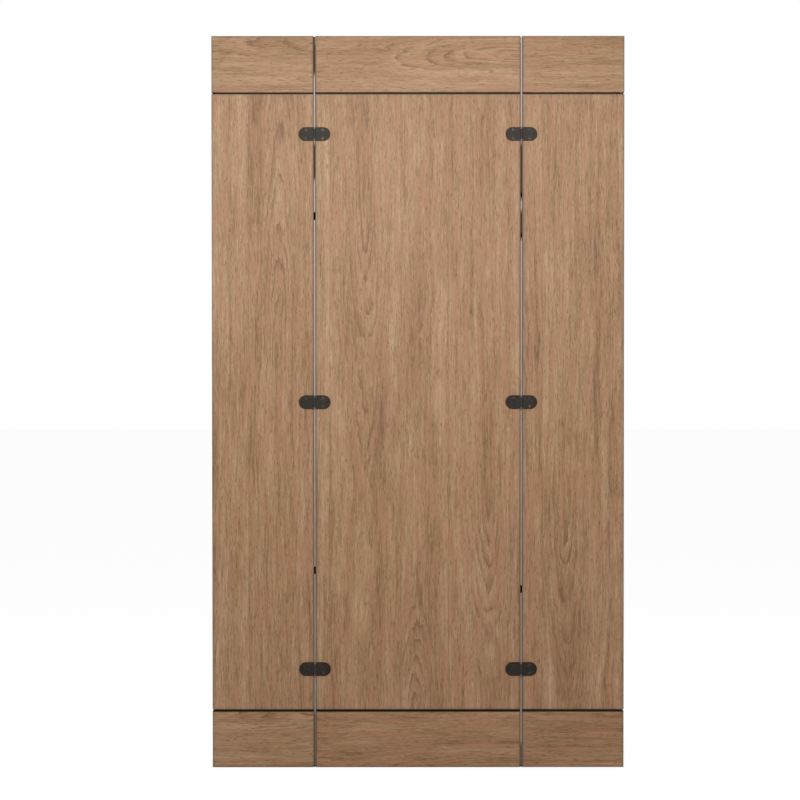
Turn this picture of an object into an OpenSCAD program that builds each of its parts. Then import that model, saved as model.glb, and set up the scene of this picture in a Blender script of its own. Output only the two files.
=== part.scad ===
// Three-leaf clamshell armoire. A hanging case stands on the fixed centre leaf, and two L-shaped
// wings, each a side bay with shelves and half of the front, swing back round it on plate hinges.
// Millimetres. +Z is up, the hinged face looks along -Y and the two doors' fronts along +Y.
// The origin is on the floor, under the middle of the whole box.

/* [Overall] */
// Width over both wings
overall_w = 1143; // [1120:1:1180]
// Height from the floor to the top of the boards
overall_h = 2032; // [2020:1:2060]
// Depth over the face boards, without the hinges and pulls
body_d = 560; // [550:1:590]
// Width of the fixed centre leaf
center_w = 568; // [558:1:578]
// Gap between two leaves of the hinged face
seam = 5; // [4.5:0.5:6]
// Gap between the two doors at the front
meeting_gap = 3; // [2:0.5:5]
// Height of the boards' lower edges above the floor
floor_gap = 3; // [2:0.5:6]

/* [Panels] */
// Thickness of the face boards
face_t = 9; // [8:0.5:10]
// Thickness of the dark core behind them
core_t = 13; // [12:0.5:15]
// Height of the top band
top_band_h = 156; // [130:1:170]
// Height of the bottom band
bottom_band_h = 157; // [130:1:170]
// Width of the groove between a band and its board
groove = 4.5; // [3:0.5:6]
// Thickness of the inner case's panels
case_t = 18; // [16:1:20]
// Thickness of the top and bottom panels
cap_t = 22; // [18:1:25]
// Height of the bottom panels' undersides above the floor
cap_z = 24; // [20:1:30]
// Depth of the inner case from its back to its open front
case_d = 318; // [310:1:325]

/* [Shelves] */
// Thickness of the wings' shelves
shelf_t = 24; // [20:1:28]
// Heights of the left wing's shelves at mid thickness
left_shelves = [550, 1536]; // [300:1:1800]
// Heights of the right wing's shelves at mid thickness
right_shelves = [498, 1478]; // [300:1:1800]

/* [Hinges] */
// Length of an open hinge, across the seam
hinge_w = 88; // [80:1:96]
// Height of a hinge
hinge_h = 38; // [34:1:42]
// Thickness of a hinge leaf
leaf_t = 2.2; // [2:0.1:2.4]
// Radius of the hinge barrel
barrel_r = 3; // [2.8:0.1:3.2]
// Radius of the hinge pin
pin_r = 1.5; // [1.3:0.1:1.6]
// Distance from the middle hinge to the upper and lower ones
hinge_pitch = 742; // [700:1:780]

/* [Seam seals] */
// Width of the seal's face in the seam
seal_w = 3.6; // [3:0.1:4]
// Depth of the seal's face behind the boards
seal_recess = 2; // [1:0.5:6]
// Lowest and highest edge of each length of the left seal
left_seal = [[8, 541], [562, 1524], [1546, 2030]]; // [5:1:2030]
// Lowest and highest edge of each length of the right seal
right_seal = [[8, 488], [510, 1475], [1487, 1588], [1600, 2030]]; // [5:1:2030]

/* [Drawers] */
// Height of a drawer's front
drawer_h = 206; // [190:1:210]
// Gap round a drawer's front
drawer_gap = 3; // [2:0.5:4]
// Length of a drawer's box behind its front
drawer_d = 290; // [270:1:295]
// Height of a drawer's box
drawer_box_h = 165; // [140:1:170]

/* [Hardware] */
// Distance of the hanging rod's centre below the top
rod_drop = 102; // [90:1:120]
// Radius of the hanging rod
rod_r = 12.5; // [11:0.5:14]
// Distance of each door pull's centre from the doors' meeting line
pull_x = 58; // [45:1:80]
// Height of the pulls and of the middle hinges
middle_z = 1019; // [1000:1:1030]

/* [Hidden] */
$fn = 48;

// Colours
wood = [0.66, 0.51, 0.39];
inner_wood = [0.60, 0.46, 0.34];
dark_core = [0.15, 0.10, 0.07];
dark_metal = [0.20, 0.19, 0.18];
screw_metal = [0.32, 0.31, 0.29];
pale_seal = [0.78, 0.76, 0.74];
foot_plastic = [0.12, 0.12, 0.12];
rod_metal = [0.36, 0.34, 0.31];

// Clearances
glue = 0.2;         // glue line between two solids of one node
slip = 0.05;        // radial clearance of pins, screws and studs in their holes
cut = 1;            // overshoot of a cut past a face

// Hinges: the pin's axis stands off the boards, over the middle of the seam
leaf_stand = 1;
axis_out = leaf_t + leaf_stand;
hinge_out = axis_out + barrel_r;
knuckle_h = 28;
knuckle_gap = 0.4;
mid_knuckle_h = 8.8;
knuckle_clear = 0.4;
notch_half_w = 4;
pin_head_r = 3;
pin_head_t = 4.2;
pin_end_gap = 0.3;

// Screws: distance from the hinge's axis and height, for each leaf
screw_spots = [[36, 0], [23, 11.5], [23, -11.5]];
screw_r = 1.9;
screw_head_r = 3.6;
screw_head_t = 1.6;
screw_l = 18;
slot_w = 0.8;
slot_d = 0.7;

// Seals: depths of the bulb and the fin, half the fin's thickness, and the foot's thickness
seal_bulb_d = 6;
seal_fin_d = 4;
seal_fin = 0.4;
seal_foot_t = 2;

// Pulls: the bail hangs from a knuckle on a plate
plate_t = 2;
plate_w = 34;
plate_h = 96;
pull_axis_out = 11.2;
pull_knuckle_r = 5;
pull_out = pull_axis_out + pull_knuckle_r;
pull_axis_up = 24;
pull_screw_up = 39;
bail_r = 2.5;
bail_half_w = 14;
bail_leg = 34;
bail_pin_r = 2;
pull_knuckle_half = 9;
pull_neck_half = 3;

// Places in the plan
y_back = -(body_d + hinge_out + pull_out) / 2 + hinge_out;
y_front = y_back + body_d;
panel_t = face_t + core_t;
y_back_in = y_back + panel_t;
y_front_in = y_front - panel_t;
y_case = y_back_in + case_d;
center_x = center_w / 2;
case_in_x = center_x - case_t;
wing_x = center_x + seam;
out_x = overall_w / 2;
out_in_x = out_x - panel_t;
door_x = meeting_gap / 2;
hinge_x = center_x + seam / 2;
hinge_y = y_back - axis_out;
shelf_end_gap = 1.5;
shelf_x = wing_x + shelf_end_gap;
case_door_gap = 2;

// Places in height
board_z = floor_gap + bottom_band_h + groove;
board_top = overall_h - top_band_h - groove;
cap_top = cap_z + cap_t;
ceiling_z = overall_h - cap_t;
hinge_zs = [middle_z - hinge_pitch, middle_z, middle_z + hinge_pitch];
case_shelf_z = cap_top + 3 * drawer_h + 4 * drawer_gap;
rod_z = overall_h - rod_drop;
rod_y = (y_back_in + y_front_in) / 2;

// Drawers
front_t = 18;
box_t = 12;
box_bottom_t = 6;
box_side_gap = 2.5;
front_side_gap = 2;
box_lift = 14.5;
box_bottom_up = 7;
box_x = case_in_x - box_side_gap;
drawer_pitch = drawer_h + drawer_gap;
y_drawer = y_case - front_t;
runner_w = 30;
runner_t = 12;
runner_up = 2;
runner_l = 284;
runner_gap = 4;
knob_x = 140;
knob_out = 18;
knob_stud_r = 2;
knob_stud_l = 12;
// Profile from the foot to the crown: distance from the axis, and height
knob_profile = [[0, 0], [8, 0], [8, 1.5], [5, 3], [5, 8], [10, 11], [12.5, 13], [12.5, 15.5],
                [11, 17.4], [8, knob_out], [0, knob_out]];

// Rod sockets
flange_r = 22;
flange_t = 3;
collar_l = 12;
collar_r = rod_r + 3.5;
rod_play = 0.1;
rod_end_gap = 0.5;

// Levelling glides
pad_r = 16;
pad_t = 5;
stem_r = 4;
stem_l = 32;
glide_in = 28;
case_glide_x = 240;
wing_glide_in = 30;
door_glide_in = 40;
y_glide_back = y_back_in + glide_in;
y_glide_case = y_case - glide_in;
y_glide_front = y_front_in - glide_in;
case_glide_spots = [[-case_glide_x, y_glide_back], [case_glide_x, y_glide_back],
                    [-case_glide_x, y_glide_case], [case_glide_x, y_glide_case]];
wing_glide_spots = [[wing_x + wing_glide_in, y_glide_back], [out_in_x - glide_in, y_glide_back],
                    [out_in_x - glide_in, y_glide_front], [door_x + door_glide_in, y_glide_front]];

// ---- Shared shapes ----

// A box given by its lowest and highest corner
module block(low, high) {
    translate(low) cube(high - low);
}

// A cylinder along +Y from y = 0
module y_cylinder(r, h) {
    rotate([-90, 0, 0]) cylinder(r = r, h = h);
}

// A cylinder along +X from x = 0
module x_cylinder(r, h) {
    rotate([0, 90, 0]) cylinder(r = r, h = h);
}

// A plan outline raised between two heights
module upright(outline, low, high) {
    translate([0, 0, low]) linear_extrude(high - low) polygon(outline);
}

// A face of the armoire: one tall board, or the two bands above and below it
module tall_board(outline) {
    upright(outline, board_z, board_top);
}

module bands(outline) {
    upright(outline, floor_gap, board_z - groove);
    upright(outline, board_top + groove, overall_h);
}

// Plan outlines of the face boards: square at the seams, mitred at the wings' outer corners
center_outline = [[-center_x, y_back], [center_x, y_back],
                  [center_x, y_back + face_t], [-center_x, y_back + face_t]];
wing_back_outline = [[wing_x, y_back], [out_x, y_back],
                     [out_x - face_t, y_back + face_t], [wing_x, y_back + face_t]];
wing_side_outline = [[out_x, y_back], [out_x, y_front],
                     [out_x - face_t, y_front - face_t], [out_x - face_t, y_back + face_t]];
wing_front_outline = [[door_x, y_front - face_t], [out_x - face_t, y_front - face_t],
                      [out_x, y_front], [door_x, y_front]];

// Plan outline of a wing's top and bottom panels: the side bay and its half of the front
y_cap = y_case + case_door_gap;
cap_outline = [[door_x, y_cap], [shelf_x, y_cap], [shelf_x, y_back_in],
               [out_in_x, y_back_in], [out_in_x, y_front_in], [door_x, y_front_in]];

// ---- Hinges and screws ----

// Countersunk wood screw along +Y, its head flush with y = 0
module screw() {
    difference() {
        union() {
            rotate([-90, 0, 0]) cylinder(r1 = screw_head_r, r2 = screw_r, h = screw_head_t);
            y_cylinder(screw_r, screw_l);
        }
        for (turn = [0, 90])
            rotate([0, turn, 0])
                block([-screw_head_r * 0.6, -cut, -slot_w / 2], [screw_head_r * 0.6, slot_d, slot_w / 2]);
    }
}

// The hole that the screw fits, with its countersink
module screw_hole() {
    rotate([-90, 0, 0]) cylinder(r1 = screw_head_r + slip, r2 = screw_r + slip, h = screw_head_t);
    y_cylinder(screw_r + slip, screw_l + slip);
}

// Children at each screw of the three hinges of one seam, on the wing's side of it
module at_hinge_screws() {
    for (z = hinge_zs)
        for (spot = screw_spots)
            translate([hinge_x + spot[0], y_back - leaf_t, z + spot[1]]) children();
}

// The same on the centre leaf's side
module at_case_screws() {
    for (z = hinge_zs)
        for (spot = screw_spots)
            translate([hinge_x - spot[0], y_back - leaf_t, z + spot[1]]) children();
}

// One knuckle, joined to the leaf that stands on +x
module knuckle(low, high) {
    translate([0, 0, low]) cylinder(r = barrel_r, h = high - low);
    block([0, leaf_stand, low], [barrel_r + knuckle_clear, axis_out, high]);
}

// A leaf with its plate on +x and the pin's axis at the origin. own lists the lowest and highest
// edge of each of its knuckles.
module hinge_leaf(own) {
    end_r = hinge_h / 2;
    end_x = hinge_w / 2 - end_r;
    notch_z = knuckle_h / 2 + pin_end_gap + end_r / 2;
    difference() {
        union() {
            difference() {
                union() {
                    block([barrel_r + knuckle_clear, leaf_stand, -end_r], [end_x, axis_out, end_r]);
                    translate([end_x, leaf_stand, 0]) y_cylinder(end_r, leaf_t);
                }
                for (side = [-1, 1])
                    translate([0, axis_out, side * notch_z])
                        cube([2 * notch_half_w, 2 * axis_out, end_r], center = true);
            }
            for (k = own) knuckle(k[0], k[1]);
        }
        translate([0, 0, -knuckle_h]) cylinder(r = pin_r + slip, h = 2 * knuckle_h);
        for (spot = screw_spots)
            translate([spot[0], leaf_stand, spot[1]]) screw_hole();
    }
}

// The wing's leaf has the middle knuckle, and the centre's leaf the two outer ones
mid_knuckle = [[-mid_knuckle_h / 2, mid_knuckle_h / 2]];
outer_knuckles = [[-knuckle_h / 2, -mid_knuckle_h / 2 - knuckle_gap],
                  [mid_knuckle_h / 2 + knuckle_gap, knuckle_h / 2]];

module hinge_pin() {
    head_z = knuckle_h / 2 + pin_end_gap;
    translate([0, 0, -head_z]) cylinder(r = pin_r, h = 2 * head_z);
    translate([0, 0, head_z]) cylinder(r = pin_head_r, h = pin_head_t);
    translate([0, 0, -head_z - pin_head_t]) cylinder(r = pin_head_r, h = pin_head_t);
}

// Children drawn once as they are and once mirrored to the left
module both_sides() {
    children();
    mirror([1, 0, 0]) children();
}

// ---- Inner case, fixed on the centre leaf ----

module case_back_board() {
    color(wood) difference() {
        tall_board(center_outline);
        both_sides() at_case_screws() y_cylinder(screw_r + slip, screw_l + slip);
    }
}

module case_top_band() {
    color(wood) upright(center_outline, board_top + groove, overall_h);
}

module case_bottom_band() {
    color(wood) upright(center_outline, floor_gap, board_z - groove);
}

module case_back_core() {
    color(dark_core) difference() {
        block([-center_x, y_back + face_t, floor_gap], [center_x, y_back_in, overall_h]);
        both_sides() at_case_screws() y_cylinder(screw_r + slip, screw_l + slip);
    }
}

module case_side() {
    color(inner_wood) block([case_in_x, y_back_in, cap_z], [center_x, y_case, overall_h]);
}

// A level panel between the case's sides
module case_level(low, high) {
    block([-case_in_x, y_back_in, low], [case_in_x, y_case, high]);
}

module case_top() {
    color(inner_wood) case_level(ceiling_z, overall_h);
}

module case_bottom() {
    color(inner_wood) difference() {
        case_level(cap_z, cap_top);
        at_spots(case_glide_spots) stem_hole();
    }
}

module case_shelf() {
    color(inner_wood) case_level(case_shelf_z, case_shelf_z + case_t);
}

// A pair of wooden runners under each drawer's sides
module drawer_runners() {
    y_runner = y_drawer - runner_gap;
    color(inner_wood)
        for (n = [1:3])
            both_sides()
                block([case_in_x - runner_w, y_runner - runner_l, drawer_z(n) + runner_up],
                      [case_in_x, y_runner, drawer_z(n) + runner_up + runner_t]);
}

module hanging_rod() {
    length = 2 * (case_in_x - flange_t - rod_end_gap);
    color(rod_metal) translate([-length / 2, rod_y, rod_z]) x_cylinder(rod_r, length);
}

module rod_sockets() {
    color(dark_metal) both_sides()
        translate([case_in_x - flange_t - collar_l, rod_y, rod_z]) difference() {
            union() {
                translate([collar_l, 0, 0]) x_cylinder(flange_r, flange_t);
                x_cylinder(collar_r, collar_l + cut);
            }
            translate([-cut, 0, 0]) x_cylinder(rod_r + rod_play, collar_l + cut);
        }
}

module case_hinge_leaves() {
    color(dark_metal) both_sides()
        for (z = hinge_zs)
            translate([hinge_x, hinge_y, z]) mirror([1, 0, 0]) hinge_leaf(outer_knuckles);
}

module hinge_pins() {
    color(dark_metal) both_sides()
        for (z = hinge_zs) translate([hinge_x, hinge_y, z]) hinge_pin();
}

module case_screws() {
    color(screw_metal) both_sides() at_case_screws() screw();
}

// ---- Levelling glides ----

module at_spots(spots) {
    for (spot = spots) translate([spot[0], spot[1], 0]) children();
}

module glide() {
    cylinder(r = pad_r, h = pad_t);
    cylinder(r = stem_r, h = stem_l);
}

module stem_hole() {
    cylinder(r = stem_r + slip, h = stem_l + cut);
}

module case_glides() {
    color(foot_plastic) at_spots(case_glide_spots) glide();
}

// ---- Drawers, numbered from the lowest ----

// Height of a drawer front's lower edge
function drawer_z(n) = cap_top + drawer_gap + (n - 1) * drawer_pitch;

module at_knobs(n) {
    for (side = [-1, 1])
        translate([side * knob_x, y_case, drawer_z(n) + drawer_h / 2]) children();
}

module drawer_front(n) {
    low = drawer_z(n);
    half_w = case_in_x - front_side_gap;
    color(wood) difference() {
        block([-half_w, y_drawer, low], [half_w, y_case, low + drawer_h]);
        at_knobs(n) translate([0, -knob_stud_l - slip, 0])
            y_cylinder(knob_stud_r + slip, knob_stud_l + cut);
    }
}

// Two sides, a back and a bottom
module drawer_box(n) {
    low = drawer_z(n) + box_lift;
    y_box = y_drawer - drawer_d;
    color(inner_wood) {
        both_sides() block([box_x - box_t, y_box, low], [box_x, y_drawer, low + drawer_box_h]);
        block([-box_x + box_t + glue, y_box, low],
              [box_x - box_t - glue, y_box + box_t, low + drawer_box_h]);
        block([-box_x + box_t + glue, y_box + box_t + glue, low + box_bottom_up],
              [box_x - box_t - glue, y_drawer, low + box_bottom_up + box_bottom_t]);
    }
}

// A turned knob on a stud
module drawer_knobs(n) {
    color(dark_metal) at_knobs(n) rotate([-90, 0, 0]) {
        rotate_extrude() polygon(knob_profile);
        translate([0, 0, -knob_stud_l]) cylinder(r = knob_stud_r, h = knob_stud_l);
    }
}

// ---- Wings, drawn as the right-hand one and mirrored for the left ----

module wing_back_board() {
    color(wood) difference() {
        tall_board(wing_back_outline);
        at_hinge_screws() y_cylinder(screw_r + slip, screw_l + slip);
    }
}

module wing_back_bands() {
    color(wood) bands(wing_back_outline);
}

module wing_side_board() {
    color(wood) tall_board(wing_side_outline);
}

module wing_side_bands() {
    color(wood) bands(wing_side_outline);
}

module wing_front_board() {
    color(wood) difference() {
        tall_board(wing_front_outline);
        at_pull_screws() y_cylinder(screw_r + slip, screw_l + slip);
    }
}

module wing_front_bands() {
    color(wood) bands(wing_front_outline);
}

// Back, side and front core panels
module wing_core_panels() {
    y_core = y_back + face_t;
    core_x = out_x - face_t;
    color(dark_core) difference() {
        union() {
            block([wing_x, y_core, floor_gap], [core_x, y_back_in, overall_h]);
            block([out_in_x, y_back_in + glue, floor_gap], [core_x, y_front_in - glue, overall_h]);
            block([door_x, y_front_in, floor_gap], [core_x, y_front - face_t, overall_h]);
        }
        at_hinge_screws() y_cylinder(screw_r + slip, screw_l + slip);
        at_pull_screws() y_cylinder(screw_r + slip, screw_l + slip);
    }
}

module wing_top_cap() {
    color(inner_wood) upright(cap_outline, ceiling_z, overall_h);
}

module wing_bottom_cap() {
    color(inner_wood) difference() {
        upright(cap_outline, cap_z, cap_top);
        at_spots(wing_glide_spots) stem_hole();
    }
}

module wing_shelf(mid_z) {
    color(inner_wood)
        block([shelf_x, y_back_in, mid_z - shelf_t / 2], [out_in_x, y_front_in, mid_z + shelf_t / 2]);
}

module wing_hinge_leaves() {
    color(dark_metal)
        for (z = hinge_zs) translate([hinge_x, hinge_y, z]) hinge_leaf(mid_knuckle);
}

module wing_screws() {
    color(screw_metal) {
        at_hinge_screws() screw();
        at_pull_screws() screw();
    }
}

// Dust seal: a bulb in the middle of the seam on a fin whose foot is glued to the wing's edge
module wing_seam_seal(lengths) {
    half_w = seal_w / 2;
    y_bulb = seal_recess + seal_bulb_d;
    y_foot = y_bulb + seal_fin_d;
    y_end = y_foot + seal_foot_t;
    outline = [[-half_w, seal_recess], [half_w, seal_recess], [half_w, y_bulb], [seal_fin, y_bulb],
               [seal_fin, y_foot], [seam / 2, y_foot], [seam / 2, y_end], [-seal_fin, y_end],
               [-seal_fin, y_bulb], [-half_w, y_bulb]];
    color(pale_seal) translate([hinge_x, y_back, 0])
        for (l = lengths) upright(outline, l[0], l[1]);
}

module wing_glides() {
    color(foot_plastic) at_spots(wing_glide_spots) glide();
}

// ---- Door pulls ----

// Screws at both ends of the pull's plate, driven in from the front
module at_pull_screws() {
    for (side = [-1, 1])
        translate([pull_x, y_front + plate_t, middle_z + side * pull_screw_up])
            rotate([0, 0, 180]) children();
}

// A plate with round ends, and the knuckle that the bail hangs from
module wing_pull_plate() {
    end_r = plate_w / 2;
    end_up = plate_h / 2 - end_r;
    color(dark_metal) difference() {
        translate([pull_x, y_front, middle_z]) union() {
            block([-end_r, 0, -end_up], [end_r, plate_t, end_up]);
            for (side = [-1, 1]) translate([0, 0, side * end_up]) y_cylinder(end_r, plate_t);
            translate([-pull_knuckle_half, pull_axis_out, pull_axis_up])
                x_cylinder(pull_knuckle_r, 2 * pull_knuckle_half);
            block([-pull_knuckle_half, plate_t - cut, pull_axis_up - pull_neck_half],
                  [pull_knuckle_half, pull_axis_out, pull_axis_up + pull_neck_half]);
        }
        at_pull_screws() screw_hole();
        translate([pull_x - plate_w, y_front + pull_axis_out, middle_z + pull_axis_up])
            x_cylinder(bail_pin_r + slip, 2 * plate_w);
    }
}

// A closed loop: a pin through the knuckle, two legs and a half-round grip
module wing_pull_bail() {
    color(dark_metal) translate([pull_x, y_front + pull_axis_out, middle_z + pull_axis_up]) {
        translate([-bail_half_w, 0, 0]) x_cylinder(bail_pin_r, 2 * bail_half_w);
        for (side = [-1, 1]) {
            translate([side * bail_half_w, 0, -bail_leg]) cylinder(r = bail_r, h = bail_leg);
            translate([side * bail_half_w, 0, 0]) sphere(r = bail_r);
        }
        translate([0, 0, -bail_leg]) rotate([90, 180, 0])
            rotate_extrude(angle = 180) translate([bail_half_w, 0]) circle(r = bail_r);
    }
}

module left() {
    mirror([1, 0, 0]) children();
}

case_back_board();
case_top_band();
case_bottom_band();
case_back_core();
left() case_side();  // case_left_side
case_side();  // case_right_side
case_top();
case_bottom();
case_shelf();
drawer_runners();
hanging_rod();
rod_sockets();
case_glides();
case_hinge_leaves();
hinge_pins();
case_screws();
drawer_front(1);  // drawer_1_front
drawer_box(1);  // drawer_1_box
drawer_knobs(1);  // drawer_1_knobs
drawer_front(2);  // drawer_2_front
drawer_box(2);  // drawer_2_box
drawer_knobs(2);  // drawer_2_knobs
drawer_front(3);  // drawer_3_front
drawer_box(3);  // drawer_3_box
drawer_knobs(3);  // drawer_3_knobs
left() wing_back_board();  // left_back_board
left() wing_back_bands();  // left_back_bands
left() wing_side_board();  // left_side_board
left() wing_side_bands();  // left_side_bands
left() wing_front_board();  // left_front_board
left() wing_front_bands();  // left_front_bands
left() wing_core_panels();  // left_core_panels
left() wing_top_cap();  // left_top_cap
left() wing_bottom_cap();  // left_bottom_cap
left() wing_shelf(left_shelves[1]);  // left_upper_shelf
left() wing_shelf(left_shelves[0]);  // left_lower_shelf
left() wing_hinge_leaves();  // left_hinge_leaves
left() wing_screws();  // left_screws
left() wing_seam_seal(left_seal);  // left_seam_seal
left() wing_pull_plate();  // left_pull_plate
left() wing_pull_bail();  // left_pull_bail
left() wing_glides();  // left_glides
wing_back_board();  // right_back_board
wing_back_bands();  // right_back_bands
wing_side_board();  // right_side_board
wing_side_bands();  // right_side_bands
wing_front_board();  // right_front_board
wing_front_bands();  // right_front_bands
wing_core_panels();  // right_core_panels
wing_top_cap();  // right_top_cap
wing_bottom_cap();  // right_bottom_cap
wing_shelf(right_shelves[1]);  // right_upper_shelf
wing_shelf(right_shelves[0]);  // right_lower_shelf
wing_hinge_leaves();  // right_hinge_leaves
wing_screws();  // right_screws
wing_seam_seal(right_seal);  // right_seam_seal
wing_pull_plate();  // right_pull_plate
wing_pull_bail();  // right_pull_bail
wing_glides();  // right_glides
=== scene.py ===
"""Looks of the three-leaf armoire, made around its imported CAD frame.

Every CAD node keeps its shape. This script rounds the edges a little with modifiers, gives each
node a procedural material, and sets up a pale studio with the camera square to the hinged face.
Lengths are in metres, in the frame's own coordinates.
"""

import math
import random

import bpy
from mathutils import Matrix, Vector


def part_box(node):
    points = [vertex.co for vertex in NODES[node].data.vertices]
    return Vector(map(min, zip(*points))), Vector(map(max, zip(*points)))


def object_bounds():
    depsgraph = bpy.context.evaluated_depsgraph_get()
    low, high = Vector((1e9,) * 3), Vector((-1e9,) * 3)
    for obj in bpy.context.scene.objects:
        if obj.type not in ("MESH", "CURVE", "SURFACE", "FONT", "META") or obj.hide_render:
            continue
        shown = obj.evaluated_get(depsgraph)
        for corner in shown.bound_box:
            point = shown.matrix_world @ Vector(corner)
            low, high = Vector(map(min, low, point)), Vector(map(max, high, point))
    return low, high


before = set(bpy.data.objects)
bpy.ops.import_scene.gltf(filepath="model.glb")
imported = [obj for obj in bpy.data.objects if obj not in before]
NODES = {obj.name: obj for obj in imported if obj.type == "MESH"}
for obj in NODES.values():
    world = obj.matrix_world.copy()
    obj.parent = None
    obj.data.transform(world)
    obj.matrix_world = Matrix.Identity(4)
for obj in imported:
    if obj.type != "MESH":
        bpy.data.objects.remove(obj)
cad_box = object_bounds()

# ---- Colours, as linear red, green and blue ----

STRAW = (0.565, 0.358, 0.218)
TAN = (0.425, 0.248, 0.126)
BROWN = (0.310, 0.166, 0.074)
ROSE = (0.440, 0.222, 0.120)
OLIVE = (0.350, 0.236, 0.116)
UMBER = (0.205, 0.101, 0.046)
PORE = (0.120, 0.058, 0.028)
# Edge colour: wear, and painted shade along rims and seams
EDGE_WEAR_AND_SHADE = (0.150, 0.100, 0.066)
# Painted shade of the grooves, near black
GROOVE_SHADE = (0.011, 0.006, 0.004)
LINING = (0.055, 0.034, 0.022)
BRONZE = (0.033, 0.028, 0.023)
BRONZE_WORN = (0.100, 0.080, 0.064)
BRONZE_RIM = (0.046, 0.023, 0.010)
SCREW = (0.085, 0.080, 0.073)
PIN = (0.170, 0.160, 0.145)
SEAL = (0.600, 0.500, 0.460)
# Painted shade for the seams' dark lengths
SEAL_SHADE = (0.070, 0.030, 0.014)
BLACK_PLASTIC = (0.018, 0.018, 0.018)
ROD_BRONZE = (0.120, 0.098, 0.074)


# ---- Shader building ----


class Graph:
    """The shader nodes of one material, around its Principled BSDF."""

    def __init__(self, name):
        self.material = bpy.data.materials.new(name)
        self.material.use_nodes = True
        self.tree = self.material.node_tree
        self.shader = self.tree.nodes["Principled BSDF"]

    def put(self, socket, value):
        """Links a socket to socket, or sets a plain value."""
        if isinstance(value, bpy.types.NodeSocket):
            self.tree.links.new(value, socket)
        elif hasattr(value, "__len__") and len(socket.default_value) == 4:
            socket.default_value = (*value, 1.0)
        else:
            socket.default_value = value

    def add(self, kind, inputs=(), **settings):
        made = self.tree.nodes.new(kind)
        for key, value in settings.items():
            setattr(made, key, value)
        for key, value in dict(inputs).items():
            self.put(made.inputs[key], value)
        return made

    def math(self, operation, *values, clamp=False):
        made = self.add("ShaderNodeMath", operation=operation, use_clamp=clamp)
        for socket, value in zip(made.inputs, values):
            self.put(socket, value)
        return made.outputs[0]

    def scale(self, value, low, high, to_low=0.0, to_high=1.0, smooth=False):
        """Maps low..high to to_low..to_high and holds it beyond them."""
        kind = "SMOOTHSTEP" if smooth else "LINEAR"
        made = self.add("ShaderNodeMapRange", interpolation_type=kind, clamp=True)
        names = ("Value", "From Min", "From Max", "To Min", "To Max")
        for key, given in zip(names, (value, low, high, to_low, to_high)):
            self.put(made.inputs[key], given)
        return made.outputs["Result"]

    def sway(self, noise, amount, base):
        """base, moved up and down by a noise between 0 and 1."""
        return self.math("MULTIPLY_ADD", self.math("SUBTRACT", noise, 0.5), amount, base)

    def away(self, a, b):
        """The distance between two values."""
        return self.math("ABSOLUTE", self.math("SUBTRACT", a, b))

    def nearest(self, value, places):
        """The distance to the nearest of several places."""
        found = None
        for place in places:
            gap = self.away(value, place)
            found = gap if found is None else self.math("MINIMUM", found, gap)
        return found

    def mix(self, share, a, b):
        made = self.add("ShaderNodeMix", data_type="RGBA", blend_type="MIX")
        self.put(made.inputs[0], share)
        self.put(made.inputs[6], a)
        self.put(made.inputs[7], b)
        return made.outputs[2]

    def vector(self, x, y, z):
        return self.add("ShaderNodeCombineXYZ", {0: x, 1: y, 2: z}).outputs[0]

    def stretched(self, axes, factors):
        """The place with each axis multiplied by its factor."""
        return self.vector(*(self.math("MULTIPLY", axis, by) for axis, by in zip(axes, factors)))

    def split(self, colour):
        """The channels of a colour, as three values."""
        return self.add("ShaderNodeSeparateColor", {0: colour}).outputs

    def noise(self, vector, detail=2.0, roughness=0.5, distortion=0.0, scale=1.0):
        inputs = {
            "Vector": vector, "Scale": scale, "Detail": detail,
            "Roughness": roughness, "Distortion": distortion,
        }
        return self.add("ShaderNodeTexNoise", inputs, noise_dimensions="3D").outputs["Fac"]

    def ramp(self, share, stops, interpolation="LINEAR"):
        """A colour ramp. stops are (position, colour) in order."""
        made = self.add("ShaderNodeValToRGB", {0: share})
        made.color_ramp.interpolation = interpolation
        points = made.color_ramp.elements
        while len(points) < len(stops):
            points.new(1.0)
        for point, (position, colour) in zip(points, stops):
            point.position = position
            point.color = (*colour, 1.0) if len(colour) == 3 else colour
        return made.outputs["Color"]

    def object_axes(self):
        """The x, y and z of the piece's own coordinates, which are the frame's, in metres."""
        place = self.add("ShaderNodeTexCoord").outputs["Object"]
        return self.add("ShaderNodeSeparateXYZ", {0: place}).outputs

    def bump(self, height, strength, distance):
        inputs = {"Height": height, "Strength": strength, "Distance": distance}
        made = self.add("ShaderNodeBump", inputs)
        self.put(self.shader.inputs["Normal"], made.outputs["Normal"])


def tint(colour, factor):
    """A colour made lighter or darker."""
    return tuple(factor * c for c in colour)


# ---- Wood ----


class Strip:
    """One strip of veneer. end is its far edge across the board. pith is the line that its growth
    rings close round. arches is the pair of heights between which they close; they point up where
    up is 1, and down where it is 0. tone runs from 0 dark to 1 light, warmth from 0 olive to 1
    rose."""

    def __init__(self, end, pith, up, arches, tone, warmth):
        self.end = end
        self.pith = pith
        self.up = up
        self.arches = arches
        self.tone = tone
        self.warmth = warmth


def random_strips(seed, low, high, length):
    """Strips from low to high across a board, for the faces that have no figure of their own."""
    draw = random.Random(seed)
    strips = []
    at = low
    narrowest = 0.05
    while at < high - narrowest:
        width = draw.uniform(0.09, 0.19)
        pith = at + draw.uniform(-0.25, 1.25) * width
        start = length[0] + draw.uniform(-0.1, 0.6) * (length[1] - length[0])
        arches = (start, start + draw.uniform(0.3, 0.7))
        up = draw.choice((0, 1))
        tone = draw.uniform(0.38, 0.62)
        warmth = draw.uniform(0.25, 0.75)
        strips.append(Strip(at + width, pith, up, arches, tone, warmth))
        at += width
    return strips


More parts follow.
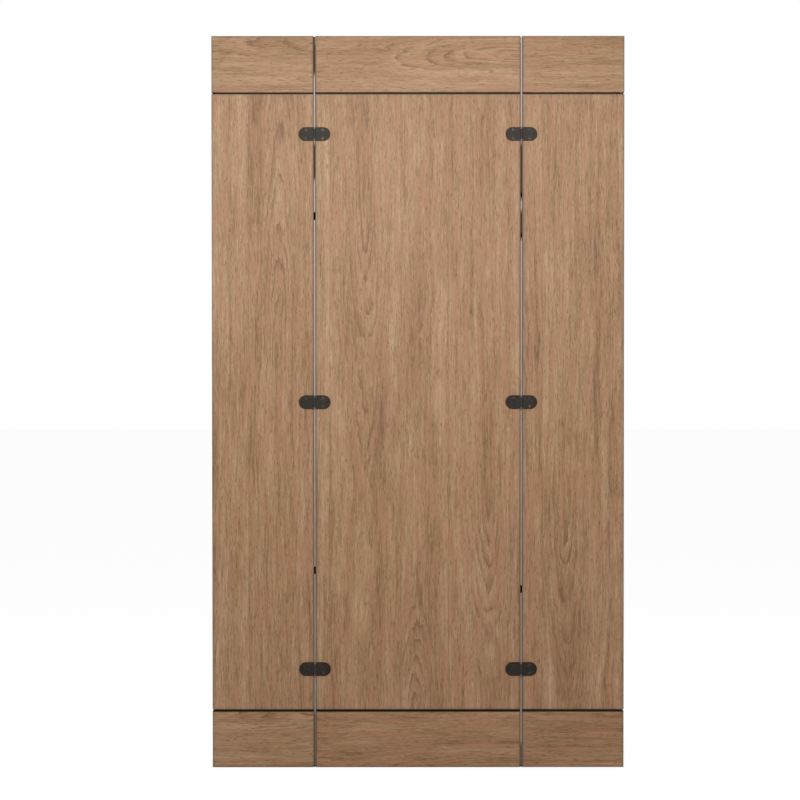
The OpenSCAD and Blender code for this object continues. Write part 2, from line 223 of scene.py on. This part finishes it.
def strip_values(g, across, strips, low, high):
    """The pith, the arches' lower and upper end, the direction, the tone and the warmth of the strip
    at this place across the board. Colour ramps hold them, so each is stored between 0 and 1: a pith
    up to reach beyond the board, and heights within half of span of the origin."""
    reach = 0.3
    span = 4.0
    share = g.scale(across, low, high)
    shape, look = [], []
    start = low
    for s in strips:
        position = min(max((start - low) / (high - low), 0.0), 1.0)
        pith = (s.pith - low + reach) / (high - low + 2 * reach)
        first, last = ((height + span / 2) / span for height in s.arches)
        shape.append((position, (pith, first, last, 1.0)))
        look.append((position, (s.up, s.tone, s.warmth, 1.0)))
        start = s.end
    shape = g.split(g.ramp(share, shape, "CONSTANT"))
    look = g.split(g.ramp(share, look, "CONSTANT"))
    pith = g.scale(shape[0], 0.0, 1.0, low - reach, high + reach)
    first = g.scale(shape[1], 0.0, 1.0, -span / 2, span / 2)
    last = g.scale(shape[2], 0.0, 1.0, -span / 2, span / 2)
    return pith, first, last, look[0], look[1], look[2]


def joint_lines(g, across, strips):
    """1 on the hairline joints between strips, 0 elsewhere."""
    line = None
    for s in strips[:-1]:
        here = g.scale(g.away(across, s.end), 0.0004, 0.0016, 1.0, 0.0)
        line = here if line is None else g.math("MAXIMUM", line, here)
    return line


AXIS = {"x": 0, "y": 1, "z": 2}
RINGS_PER_METRE = 105.0


def wood(
    name, box, grain, face, strips, seed, figure=1.0, tone=0.0, contrast=1.0, rim_wear_and_shade=1.0,
    seams=(), painted_groove_shade=False,
):
    """Veneered board: grain is the axis it runs along, face the axis that its broad side looks along.
    figure is the strength of the late wood's lines, and burnish that of the wear and painted shade
    along the edges.
    seams lists the ends in x that stand at a seam, 0 for the low one and 1 for the high one; painted
    shade darkens the board along them.
    grooved pieces get painted shade, near black, along the grooves between boards and bands."""
    g = Graph(name)
    axes = g.object_axes()
    across_name = ({"x", "y", "z"} - {grain, face}).pop()
    low, high = (c[AXIS[across_name]] for c in box)
    strips = strips or random_strips(seed, low, high, [c[AXIS[grain]] for c in box])
    across, along, depth = axes[AXIS[across_name]], axes[AXIS[grain]], axes[AXIS[face]]
    pith, first, last, up, strip_tone, warmth = strip_values(g, across, strips, low, high)
    shift = seed * 3.71

    def grain_noise(fine, long, offset=0.0, detail=2.0, roughness=0.55):
        """Noise drawn out along the grain: fine and long are features per metre across and along it."""
        x = g.math("MULTIPLY_ADD", across, fine, shift + offset)
        y = g.math("MULTIPLY_ADD", along, long, g.math("MULTIPLY", pith, 31.0))
        return g.noise(g.vector(x, y, g.math("MULTIPLY", depth, fine)), detail, roughness)

    # Growth rings close round the pith. Its depth below the face changes along the strip, and that
    # is what makes the arches.
    wave = grain_noise(9.0, 2.2)
    side = g.sway(wave, 0.05, g.math("SUBTRACT", across, pith))
    span = g.math("SUBTRACT", last, first)
    climb = g.math("DIVIDE", g.math("SUBTRACT", along, first), span, clamp=True)
    climb = g.math("ABSOLUTE", g.math("SUBTRACT", climb, g.math("SUBTRACT", 1.0, up)))
    below = g.math("MULTIPLY_ADD", climb, 0.055, 0.004)
    below = g.sway(grain_noise(0.0, 3.2, 7.0), 0.03, below)
    squared = g.math("ADD", g.math("MULTIPLY", side, side), g.math("MULTIPLY", below, below))
    ring = g.math("SQRT", squared)
    jitter = grain_noise(90.0, 22.0, 3.0, 2.0, 0.6)
    rings = g.math("MULTIPLY_ADD", ring, RINGS_PER_METRE, g.math("MULTIPLY", jitter, 0.9))
    fade = 0.08
    past_first = g.scale(along, g.math("SUBTRACT", first, fade), first)
    before_last = g.scale(along, last, g.math("ADD", last, fade), 1.0, 0.0)
    in_span = g.math("MULTIPLY", past_first, before_last)
    near_pith = g.scale(g.math("ABSOLUTE", side), 0.008, 0.075, 1.0, 0.0)
    arched = g.math("MULTIPLY", near_pith, g.math("MULTIPLY_ADD", in_span, 0.75, 0.25))
    phase = g.math("FRACT", rings)
    late = g.math("MULTIPLY", g.scale(phase, 0.0, 0.86), g.scale(phase, 0.90, 1.0, 1.0, 0.0))
    late = g.math("POWER", late, 3.2)

    # Colour: streaks that follow the rings, and finer ones that follow the grain
    follow = g.vector(
        g.math("MULTIPLY_ADD", rings, 0.5, shift),
        g.math("MULTIPLY", along, 1.3),
        g.math("MULTIPLY", side, 9.0),
    )
    streak = g.noise(follow, 3.0, 0.62)
    ribbon = grain_noise(140.0, 7.5, 0.0, 2.0, 0.6)
    strand = grain_noise(330.0, 28.0, 1.0, 2.0, 0.6)
    fibre = grain_noise(800.0, 75.0, 2.0, 2.0, 0.6)
    band = grain_noise(32.0, 0.9, 11.0, 2.0, 0.5)
    cloud = grain_noise(14.0, 3.2, 5.0)
    hue = grain_noise(70.0, 6.0, 9.0, 3.0, 0.65)
    straight = g.math("MULTIPLY_ADD", arched, -0.55, 1.0)
    light = g.math("ADD", strip_tone, tone)
    for part, weight in ((streak, 1.20), (strand, 1.05), (fibre, 0.85), (cloud, 0.60)):
        light = g.sway(part, weight * contrast, light)
    for part, weight in ((ribbon, 1.00), (band, 0.50)):
        part = g.math("MULTIPLY", g.math("SUBTRACT", part, 0.5), straight)
        light = g.math("MULTIPLY_ADD", part, weight * contrast, light)
    base = g.ramp(light, [(0.00, UMBER), (0.25, BROWN), (0.52, TAN), (0.95, STRAW)])
    warm = g.sway(hue, 3.6, warmth)
    base = g.mix(g.scale(warm, 0.35, 1.15, 0.0, 1.0), base, ROSE)
    base = g.mix(g.scale(warm, 0.25, -0.35, 0.0, 0.60), base, OLIVE)

    # Late wood lines, broken here and there
    breaks = grain_noise(60.0, 9.0, 4.0, 2.0, 0.6)
    broken = g.math("MULTIPLY", g.scale(breaks, 0.36, 0.54), g.math("MULTIPLY_ADD", arched, 0.9, 0.1))
    line = g.math("MULTIPLY", late, broken)
    base = g.mix(g.math("MULTIPLY", line, 0.85 * figure), base, UMBER)

    # Pores: short dark dashes along the grain, and rarer smudges
    dash = grain_noise(420.0, 55.0, 6.0, 1.0, 0.5)
    base = g.mix(g.scale(dash, 0.60, 0.74, 0.0, 0.55), base, PORE)
    hair = grain_noise(1500.0, 90.0, 8.0, 1.0, 0.5)
    base = g.mix(g.scale(hair, 0.62, 0.78, 0.0, 0.4), base, PORE)
    smudge = grain_noise(52.0, 15.0, 10.0, 2.0, 0.6)
    base = g.mix(g.scale(smudge, 0.66, 0.82, 0.0, 0.65), base, UMBER)
    lines = joint_lines(g, across, strips)
    if lines is not None:
        base = g.mix(g.math("MULTIPLY", lines, 0.30), base, UMBER)

    # Edges: a soft band of wear darker along the board's rim, painted shade on the rim's rounding, and
    # painted shade darkest along a seam
    rim = rim_distance(g, axes, box, face)
    wear = g.sway(cloud, 0.006, rim)
    base = g.mix(g.scale(wear, 0.0005, 0.010, 0.22 * rim_wear_and_shade, 0.0, smooth=True), base, EDGE_WEAR_AND_SHADE)
    # Painted shade on the rounded rim, within 2.8 mm of each edge
    base = g.mix(g.scale(rim, 0.0, 0.0028, 0.72 * rim_wear_and_shade, 0.0), base, EDGE_WEAR_AND_SHADE)
    if painted_groove_shade:
        # Painted shade, near black, on the wood within the grooves
        groove = g.nearest(axes[2], GROOVES)
        base = g.mix(g.scale(groove, 0.0023, 0.0029, 0.92, 0.0), base, GROOVE_SHADE)
    # Painted shade in the gap along each seam
    for end in seams:
        gap = g.away(axes[0], box[end][0])
        base = g.mix(g.scale(gap, 0.0008, 0.0036, 0.82, 0.0, smooth=True), base, EDGE_WEAR_AND_SHADE)

    g.put(g.shader.inputs["Base Color"], base)
    g.put(g.shader.inputs["Roughness"], g.scale(ribbon, 0.3, 0.7, 0.50, 0.62))
    g.put(g.shader.inputs["Specular IOR Level"], 0.42)
    relief = g.math("SUBTRACT", g.math("MULTIPLY", fibre, 0.5), g.scale(dash, 0.60, 0.74, 0.0, 0.9))
    g.bump(relief, 0.35, 0.0004)
    return g.material


def rim_distance(g, axes, box, face):
    """Distance to the nearest edge of the board's broad side."""
    nearest = None
    for name, index in AXIS.items():
        if name == face:
            continue
        for edge, sign in ((box[0][index], 1.0), (box[1][index], -1.0)):
            gap = g.math("MULTIPLY", g.math("SUBTRACT", axes[index], edge), sign)
            nearest = gap if nearest is None else g.math("MINIMUM", nearest, gap)
    return nearest


# ---- Other materials ----


def depth_inside(g, axes):
    """Distance in from the armoire's four upright faces."""
    across = g.math("SUBTRACT", HALF_WIDTH, g.math("ABSOLUTE", axes[0]))
    back = g.math("SUBTRACT", HALF_DEPTH, g.math("ABSOLUTE", axes[1]))
    return g.math("MINIMUM", across, back)


def dark_core(name):
    """Core board with faint grain: painted shade, almost black, where it shows in the grooves, and dark
    brown inside.
    """
    g = Graph(name)
    axes = g.object_axes()
    grain = g.noise(g.stretched(axes, (300.0, 300.0, 12.0)), 3.0, 0.6)
    # Painted shade, near black, within 21 mm of the outer faces where the core shows in the grooves;
    # its own dark brown deeper inside the armoire
    inside = g.scale(depth_inside(g, axes), 0.0205, 0.0215)
    painted_groove_shade = g.mix(grain, GROOVE_SHADE, tint(GROOVE_SHADE, 2.2))
    lined = g.mix(g.scale(grain, 0.3, 0.7), LINING, tint(LINING, 1.7))
    g.put(g.shader.inputs["Base Color"], g.mix(inside, painted_groove_shade, lined))
    g.put(g.shader.inputs["Roughness"], g.scale(grain, 0.3, 0.7, 0.6, 0.8))
    g.bump(grain, 0.3, 0.0003)
    return g.material


def patina_metal(name, base, worn, metallic, roughness, rim=False):
    """Oil-rubbed metal: mottled and patchy in hue, with lighter worn specks and a fine hammered bump.
    With rim, the outlines of the six hinges are browner and their barrels get a painted highlight."""
    g = Graph(name)
    place = g.add("ShaderNodeTexCoord").outputs["Object"]
    mottle = g.noise(place, 4.0, 0.65, 0.4, scale=170.0)
    patch = g.noise(place, 2.0, 0.5, 0.0, scale=75.0)
    speck = g.noise(place, 2.0, 0.6, 0.0, scale=900.0)
    dent = g.noise(place, 2.0, 0.5, 0.0, scale=260.0)
    greener = (0.9 * base[0], 1.2 * base[1], 1.15 * base[2])
    colour = g.mix(g.scale(mottle, 0.35, 0.7), tint(base, 0.65), tint(base, 1.4))
    colour = g.mix(g.scale(patch, 0.56, 0.70, 0.0, 0.5), colour, tint(BRONZE_RIM, 1.25))
    colour = g.mix(g.scale(patch, 0.44, 0.32, 0.0, 0.5), colour, greener)
    colour = g.mix(g.scale(speck, 0.62, 0.8, 0.0, 0.6), colour, worn)
    if rim:
        edge = g.sway(mottle, 0.003, hinge_rim(g))
        colour = g.mix(g.scale(edge, 0.0020, 0.0048, 0.92, 0.0, smooth=True), colour, BRONZE_RIM)
        # Painted highlight: the barrels made lighter than the plates
        middle = from_hinge_axis(g, g.object_axes()[0])
        colour = g.mix(g.scale(middle, 0.0030, 0.0042, 1.0, 0.0), colour, tint(base, 1.7))
    g.put(g.shader.inputs["Base Color"], colour)
    g.put(g.shader.inputs["Metallic"], metallic)
    g.put(g.shader.inputs["Roughness"], g.scale(mottle, 0.3, 0.7, roughness[0], roughness[1]))
    g.put(g.shader.inputs["Specular IOR Level"], 0.2)
    g.bump(g.math("MULTIPLY_ADD", speck, 0.25, dent), 0.25, 0.0005)
    return g.material


def from_hinge_axis(g, x):
    """Distance across from the nearer line of hinges."""
    return g.away(g.math("ABSOLUTE", x), HINGE_X)


def hinge_rim(g):
    """Distance in from the outline of the nearest hinge's plates, whose ends are half circles."""
    half_length, radius = HINGE_HALF
    x, _, z = g.object_axes()
    out = from_hinge_axis(g, x)
    up = g.nearest(z, HINGE_HEIGHTS)
    past = g.math("MAXIMUM", g.math("SUBTRACT", out, half_length - radius), 0.0)
    squared = g.math("ADD", g.math("MULTIPLY", past, past), g.math("MULTIPLY", up, up))
    return g.math("SUBTRACT", radius, g.math("SQRT", squared))


def screw_metal(name):
    """Darkened steel. Some heads are worn brighter, and those at the hinges' ends get painted shade,
    dark as a shaded recess.
    """
    g = Graph(name)
    place = g.add("ShaderNodeTexCoord").outputs["Object"]
    worn = g.noise(place, 1.0, 0.5, 0.0, scale=45.0)
    grain = g.noise(place, 3.0, 0.6, 0.0, scale=900.0)
    out = from_hinge_axis(g, g.object_axes()[0])
    # Painted shade: the screws at the hinges' ends made nearly black, like shaded recesses
    tone = g.math("MULTIPLY", g.scale(worn, 0.40, 0.62), g.scale(out, 0.028, 0.031, 1.0, 0.0))
    colour = g.mix(tone, tint(SCREW, 0.2), tint(SCREW, 1.2))
    colour = g.mix(g.scale(grain, 0.5, 0.8, 0.0, 0.5), colour, BRONZE)
    g.put(g.shader.inputs["Base Color"], colour)
    g.put(g.shader.inputs["Metallic"], 0.4)
    g.put(g.shader.inputs["Roughness"], g.scale(grain, 0.3, 0.7, 0.40, 0.55))
    g.put(g.shader.inputs["Specular IOR Level"], 0.3)
    g.bump(grain, 0.2, 0.0003)
    return g.material


def brushed_rod(name):
    """Dark bronze tube with turning marks round it."""
    g = Graph(name)
    marks = g.noise(g.stretched(g.object_axes(), (2500.0, 30.0, 30.0)), 2.0, 0.6)
    colour = g.mix(marks, tint(ROD_BRONZE, 0.8), tint(ROD_BRONZE, 1.3))
    g.put(g.shader.inputs["Base Color"], colour)
    g.put(g.shader.inputs["Metallic"], 0.9)
    g.put(g.shader.inputs["Roughness"], g.scale(marks, 0.3, 0.7, 0.28, 0.42))
    g.bump(marks, 0.1, 0.0002)
    return g.material


def soft_seal(name, darkening_top, painted_shade_lengths):
    """Pale seal with a fine pile. It is darker near the floor, fading out up to the height clean.
    stained lists the lengths with dark painted shade: lowest edge, highest edge and strength."""
    g = Graph(name)
    place = g.add("ShaderNodeTexCoord").outputs["Object"]
    height = g.object_axes()[2]
    pile = g.noise(place, 3.0, 0.6, 0.0, scale=1400.0)
    blotch = g.noise(place, 2.0, 0.5, 0.0, scale=25.0)
    colour = g.mix(g.scale(pile, 0.35, 0.75, 0.0, 0.35), SEAL, tint(SEAL, 0.75))
    # Darker towards the floor, fading out at the given height
    darker_below = g.sway(blotch, 0.3, g.scale(height, 0.55, darkening_top, 0.30, 0.0))
    colour = g.mix(g.scale(darker_below, 0.0, 1.0), colour, UMBER)
    # Painted shade where the seams look dark
    for low, high, strength in painted_shade_lengths:
        inside = g.math("MINIMUM", g.math("SUBTRACT", height, low), g.math("SUBTRACT", high, height))
        inside = g.sway(blotch, 0.01, inside)
        share = g.scale(inside, -0.012, 0.012, 0.0, strength, smooth=True)
        colour = g.mix(share, colour, SEAL_SHADE)
    g.put(g.shader.inputs["Base Color"], colour)
    g.put(g.shader.inputs["Roughness"], g.scale(pile, 0.3, 0.7, 0.75, 0.95))
    g.put(g.shader.inputs["Specular IOR Level"], 0.1)
    g.bump(pile, 0.4, 0.0004)
    return g.material


def moulded_plastic(name):
    """Black moulded plastic, lightly pebbled and scuffed."""
    g = Graph(name)
    place = g.add("ShaderNodeTexCoord").outputs["Object"]
    pebble = g.noise(place, 2.0, 0.5, 0.0, scale=1200.0)
    scuff = g.noise(place, 3.0, 0.6, 0.3, scale=60.0)
    colour = g.mix(g.scale(scuff, 0.5, 0.8), BLACK_PLASTIC, tint(BLACK_PLASTIC, 2.5))
    g.put(g.shader.inputs["Base Color"], colour)
    g.put(g.shader.inputs["Roughness"], g.scale(scuff, 0.3, 0.7, 0.45, 0.65))
    g.bump(pebble, 0.3, 0.0003)
    return g.material


# ---- Which piece has what ----

# Veneer strips of the pieces of the hinged face that have their own: the boards' from -X to +X, the
# bands' from the floor up
LEAF_STRIPS = {
    "left_back_board": [
        Strip(-0.470, -0.60, 0, (0.3, 1.2), 0.56, 0.45),
        Strip(-0.287, -0.388, 1, (1.15, 1.85), 0.46, 0.50),
    ],
    "case_back_board": [
        Strip(-0.246, -0.40, 0, (0.4, 1.2), 0.52, 0.30),
        Strip(-0.047, -0.150, 0, (0.9, 1.6), 0.47, 0.50),
        Strip(0.084, -0.004, 1, (0.15, 0.46), 0.50, 0.52),
        Strip(0.300, 0.190, 0, (0.40, 0.75), 0.48, 0.58),
    ],
    "right_back_bands": [
        Strip(1.000, 0.40, 0, (0.3, 0.6), 0.42, 0.50),
        Strip(2.040, 1.70, 1, (0.3, 0.6), 0.45, 0.40),
    ],
    "case_top_band": [
        Strip(2.040, 1.977, 0, (-0.08, 0.28), 0.57, 0.49),
    ],
    "case_bottom_band": [
        Strip(0.160, -0.011, 0, (-0.18, 0.18), 0.42, 0.52),
    ],
    "right_back_board": [
        Strip(0.345, 0.26, 1, (0.5, 1.3), 0.45, 0.62),
        Strip(0.572, 0.413, 0, (0.22, 0.72), 0.48, 0.48),
    ],
}
# Ends in x that stand at a seam, of the pieces of the hinged face
SEAM_ENDS = {"case": (0, 1), "left": (1,), "right": (0,)}
# Half the width and depth over the boards, and the heights of the two grooves' middles
HALF_WIDTH = 0.5715
HALF_DEPTH = 0.2800
GROOVES = (0.1599, 1.8738)
# The six hinges: distance from the middle, heights, and half their length and height
HINGE_X = 0.2865
HINGE_HEIGHTS = (0.277, 1.019, 1.761)
HINGE_HALF = (0.044, 0.019)
# Lengths of the two seals with painted shade: lowest edge, highest edge and strength
LEFT_SHADED_LENGTHS = [(-0.05, 0.157, 0.6), (1.635, 1.735, 0.95), (1.925, 2.05, 0.95)]
RIGHT_SHADED_LENGTHS = [(-0.05, 0.070, 0.6), (1.47, 1.548, 0.95), (1.58, 1.735, 0.95)]

# Grain axis and face axis of every wooden piece, by the end of its name
GRAIN = {
    "back_board": ("z", "y"),
    "back_bands": ("x", "y"),
    "top_band": ("x", "y"),
    "bottom_band": ("x", "y"),
    "side_board": ("z", "x"),
    "side_bands": ("y", "x"),
    "front_board": ("z", "y"),
    "front_bands": ("x", "y"),
    "left_side": ("z", "x"),
    "right_side": ("z", "x"),
    "case_top": ("x", "z"),
    "case_bottom": ("x", "z"),
    "case_shelf": ("x", "z"),
    "top_cap": ("x", "z"),
    "bottom_cap": ("x", "z"),
    "upper_shelf": ("y", "z"),
    "lower_shelf": ("y", "z"),
    "runners": ("y", "x"),
    "_front": ("x", "y"),
    "_box": ("y", "x"),
}
# Pieces with full-strength edge wear and painted edge shade
WORN_AND_SHADED_RIMS = ("board", "bands", "band", "_front")


def wood_of(node):
    """The wood of one piece. Inner pieces are plainer and a little darker than the outer ones."""
    grain, face = next(axes for end, axes in GRAIN.items() if node.endswith(end))
    seed = sorted(NODES).index(node) + 1
    shown = node.endswith(WORN_AND_SHADED_RIMS)
    hinged_face = node.endswith(("back_board", "back_bands", "top_band", "bottom_band"))
    return wood(
        node + "_wood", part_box(node), grain, face, LEAF_STRIPS.get(node), seed,
        figure=1.0 if shown else 0.6,
        tone=0.0 if shown else -0.06,
        contrast=0.8 if grain == "x" else 1.0,
        rim_wear_and_shade=1.0 if shown else 0.4,
        seams=SEAM_ENDS[node.split("_")[0]] if hinged_face else (),
        painted_groove_shade=node.endswith(("board", "bands", "band")),
    )


def dress(node, material):
    """Gives a CAD node its one material."""
    slots = NODES[node].data.materials
    slots.clear()
    slots.append(material)


def round_edges(node, width, segments=2):
    """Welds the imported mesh's seams and rounds its sharp edges."""
    piece = NODES[node]
    weld = piece.modifiers.new("weld", "WELD")
    weld.merge_threshold = 1e-5
    bevel = piece.modifiers.new("eased_edges", "BEVEL")
    bevel.width = width
    bevel.segments = segments
    bevel.limit_method = "ANGLE"
    bevel.angle_limit = math.radians(40)


def dress_all():
    """Gives every piece its material, and rounds the edges of wood and plates. The tall boards
    of the back and the doors stay sharp, because their screw holes don't take a bevel."""
    shared = {
        "core": dark_core("core_board"),
        "hinge": patina_metal("hinge_patina_and_highlight", BRONZE, BRONZE_WORN, 0.2, (0.40, 0.58), rim=True),
        "metal": patina_metal("oil_rubbed_metal", BRONZE, BRONZE_WORN, 0.2, (0.40, 0.58)),
        "pin": patina_metal("worn_pins", PIN, BRONZE_WORN, 0.4, (0.40, 0.55)),
        "screw": screw_metal("worn_and_shaded_screws"),
        "rod": brushed_rod("bronze_rod"),
        "left_seal": soft_seal("left_pale_seal", 1.2, LEFT_SHADED_LENGTHS),
        "right_seal": soft_seal("right_pale_seal", 1.9, RIGHT_SHADED_LENGTHS),
        "plastic": moulded_plastic("glide_plastic"),
    }
    kinds = {
        "core": ("core", "core_panels"),
        "screw": ("screws",),
        "rod": ("hanging_rod",),
        "left_seal": ("left_seam_seal",),
        "right_seal": ("right_seam_seal",),
        "plastic": ("glides",),
        "hinge": ("hinge_leaves",),
        "pin": ("hinge_pins",),
        "metal": ("pull_plate", "pull_bail", "knobs", "rod_sockets"),
    }
    for node in sorted(NODES):
        kind = next((k for k, ends in kinds.items() if node.endswith(ends)), None)
        if kind:
            dress(node, shared[kind])
        else:
            dress(node, wood_of(node))
            if not node.endswith(("back_board", "front_board")):
                round_edges(node, 0.0008 if node.endswith(WORN_AND_SHADED_RIMS) else 0.0012)
        if node.endswith(("hinge_leaves", "pull_plate")):
            round_edges(node, 0.0004)


# ---- Studio ----


def studio_floor():
    """A wide white floor, lit up to the eye so that it meets the background without a line."""
    mesh = bpy.data.meshes.new("studio_floor")
    reach = 30.0
    corners = [(-reach, -reach, 0), (reach, -reach, 0), (reach, reach, 0), (-reach, reach, 0)]
    mesh.from_pydata(corners, [], [(0, 1, 2, 3)])
    floor = bpy.data.objects.new("studio_floor", mesh)
    bpy.context.scene.collection.objects.link(floor)
    g = Graph("studio_white")
    place = g.add("ShaderNodeTexCoord").outputs["Object"]
    grain = g.noise(place, 2.0, 0.5, 0.0, scale=3.0)
    g.put(g.shader.inputs["Base Color"], g.mix(grain, (0.86, 0.86, 0.86), (0.90, 0.90, 0.90)))
    g.put(g.shader.inputs["Roughness"], 0.9)
    g.put(g.shader.inputs["Specular IOR Level"], 0.0)
    glow = g.add("ShaderNodeEmission", {"Color": (1.0, 1.0, 1.0), "Strength": 1.10})
    # Under the armoire it keeps its own shade
    axes = g.object_axes()
    inside = depth_inside(g, axes)
    lit = g.scale(inside, 0.02, 0.16, 0.85, 0.0, smooth=True)
    # and so it does where a seam or the gap between the doors looks down on it
    side = g.math("ABSOLUTE", axes[0])
    gap = g.nearest(side, (0.0, HINGE_X))
    clear = g.math("MAXIMUM", g.scale(gap, 0.003, 0.005), g.scale(inside, 0.013, 0.015, 1.0, 0.0))
    lit = g.math("MULTIPLY", lit, clear)
    seen = g.add("ShaderNodeLightPath").outputs["Is Camera Ray"]
    share = g.math("MULTIPLY", seen, lit)
    parts = {0: share, 1: g.shader.outputs["BSDF"], 2: glow.outputs["Emission"]}
    blend = g.add("ShaderNodeMixShader", parts)
    g.put(g.tree.nodes["Material Output"].inputs["Surface"], blend.outputs["Shader"])
    mesh.materials.append(g.material)


def studio_world():
    """White to the eye, and a softer white as light."""
    world = bpy.data.worlds.new("studio")
    bpy.context.scene.world = world
    world.use_nodes = True
    nodes, links = world.node_tree.nodes, world.node_tree.links
    background = nodes["Background"]
    background.inputs["Color"].default_value = (1.0, 1.0, 1.0, 1.0)
    path = nodes.new("ShaderNodeLightPath")
    strength = nodes.new("ShaderNodeMapRange")
    strength.inputs["To Min"].default_value = 0.31
    strength.inputs["To Max"].default_value = 1.0
    links.new(path.outputs["Is Camera Ray"], strength.inputs["Value"])
    links.new(strength.outputs["Result"], background.inputs["Strength"])


def softbox(name, place, aim, size, power):
    data = bpy.data.lights.new(name, "AREA")
    data.shape = "RECTANGLE"
    data.size, data.size_y = size
    data.energy = power
    lamp = bpy.data.objects.new(name, data)
    bpy.context.scene.collection.objects.link(lamp)
    lamp.location = place
    lamp.rotation_euler = (Vector(aim) - Vector(place)).to_track_quat("-Z", "Y").to_euler()
    lamp.visible_camera = False


def lights():
    low, high = cad_box
    top = high.z
    key_z = top * 0.91
    # Before the upper half of the hinged face, a little to the left, so that light falls off below
    softbox("key", (-0.12, low.y - 1.8, key_z), (-0.08, low.y, key_z - 0.1), (2.2, 1.0), 29.4)
    # The same before the doors' fronts
    softbox("front_key", (0.15, high.y + 2.0, key_z), (0.10, high.y, key_z - 0.1), (1.6, 1.0), 28)
    # Over the top, behind the hinged face so that it doesn't graze that
    softbox("top_light", (0.0, 0.15, top + 1.8), (0.0, 0.15, top), (1.4, 0.8), 12)
    # A weaker one at each side
    softbox("left_fill", (low.x - 2.2, 0, top), (low.x, 0, top * 0.5), (1.2, 1.2), 15)
    softbox("right_fill", (high.x + 2.2, 0, top), (high.x, 0, top * 0.5), (1.2, 1.2), 13)


def camera():
    """Square to the hinged face, 5 m from it, at chest height and tipped down a little."""
    low, high = cad_box
    distance = 5.0
    pitch = math.radians(0.865)
    roll = math.radians(0.03)
    height = (low.z + high.z) / 2
    face_y = low.y + 0.0062
    data = bpy.data.cameras.new("camera")
    data.sensor_width = 36.0
    data.lens = 81.12
    lens = bpy.data.objects.new("camera", data)
    bpy.context.scene.collection.objects.link(lens)
    sideways = -0.0499
    aim_up = 0.0089
    lens.location = (sideways, face_y - distance, height + aim_up + distance * math.tan(pitch))
    lens.rotation_euler = (math.pi / 2 - pitch, roll, 0)
    bpy.context.scene.camera = lens


dress_all()
studio_floor()
studio_world()
lights()
camera()
bpy.context.scene.view_settings.view_transform = "Standard"
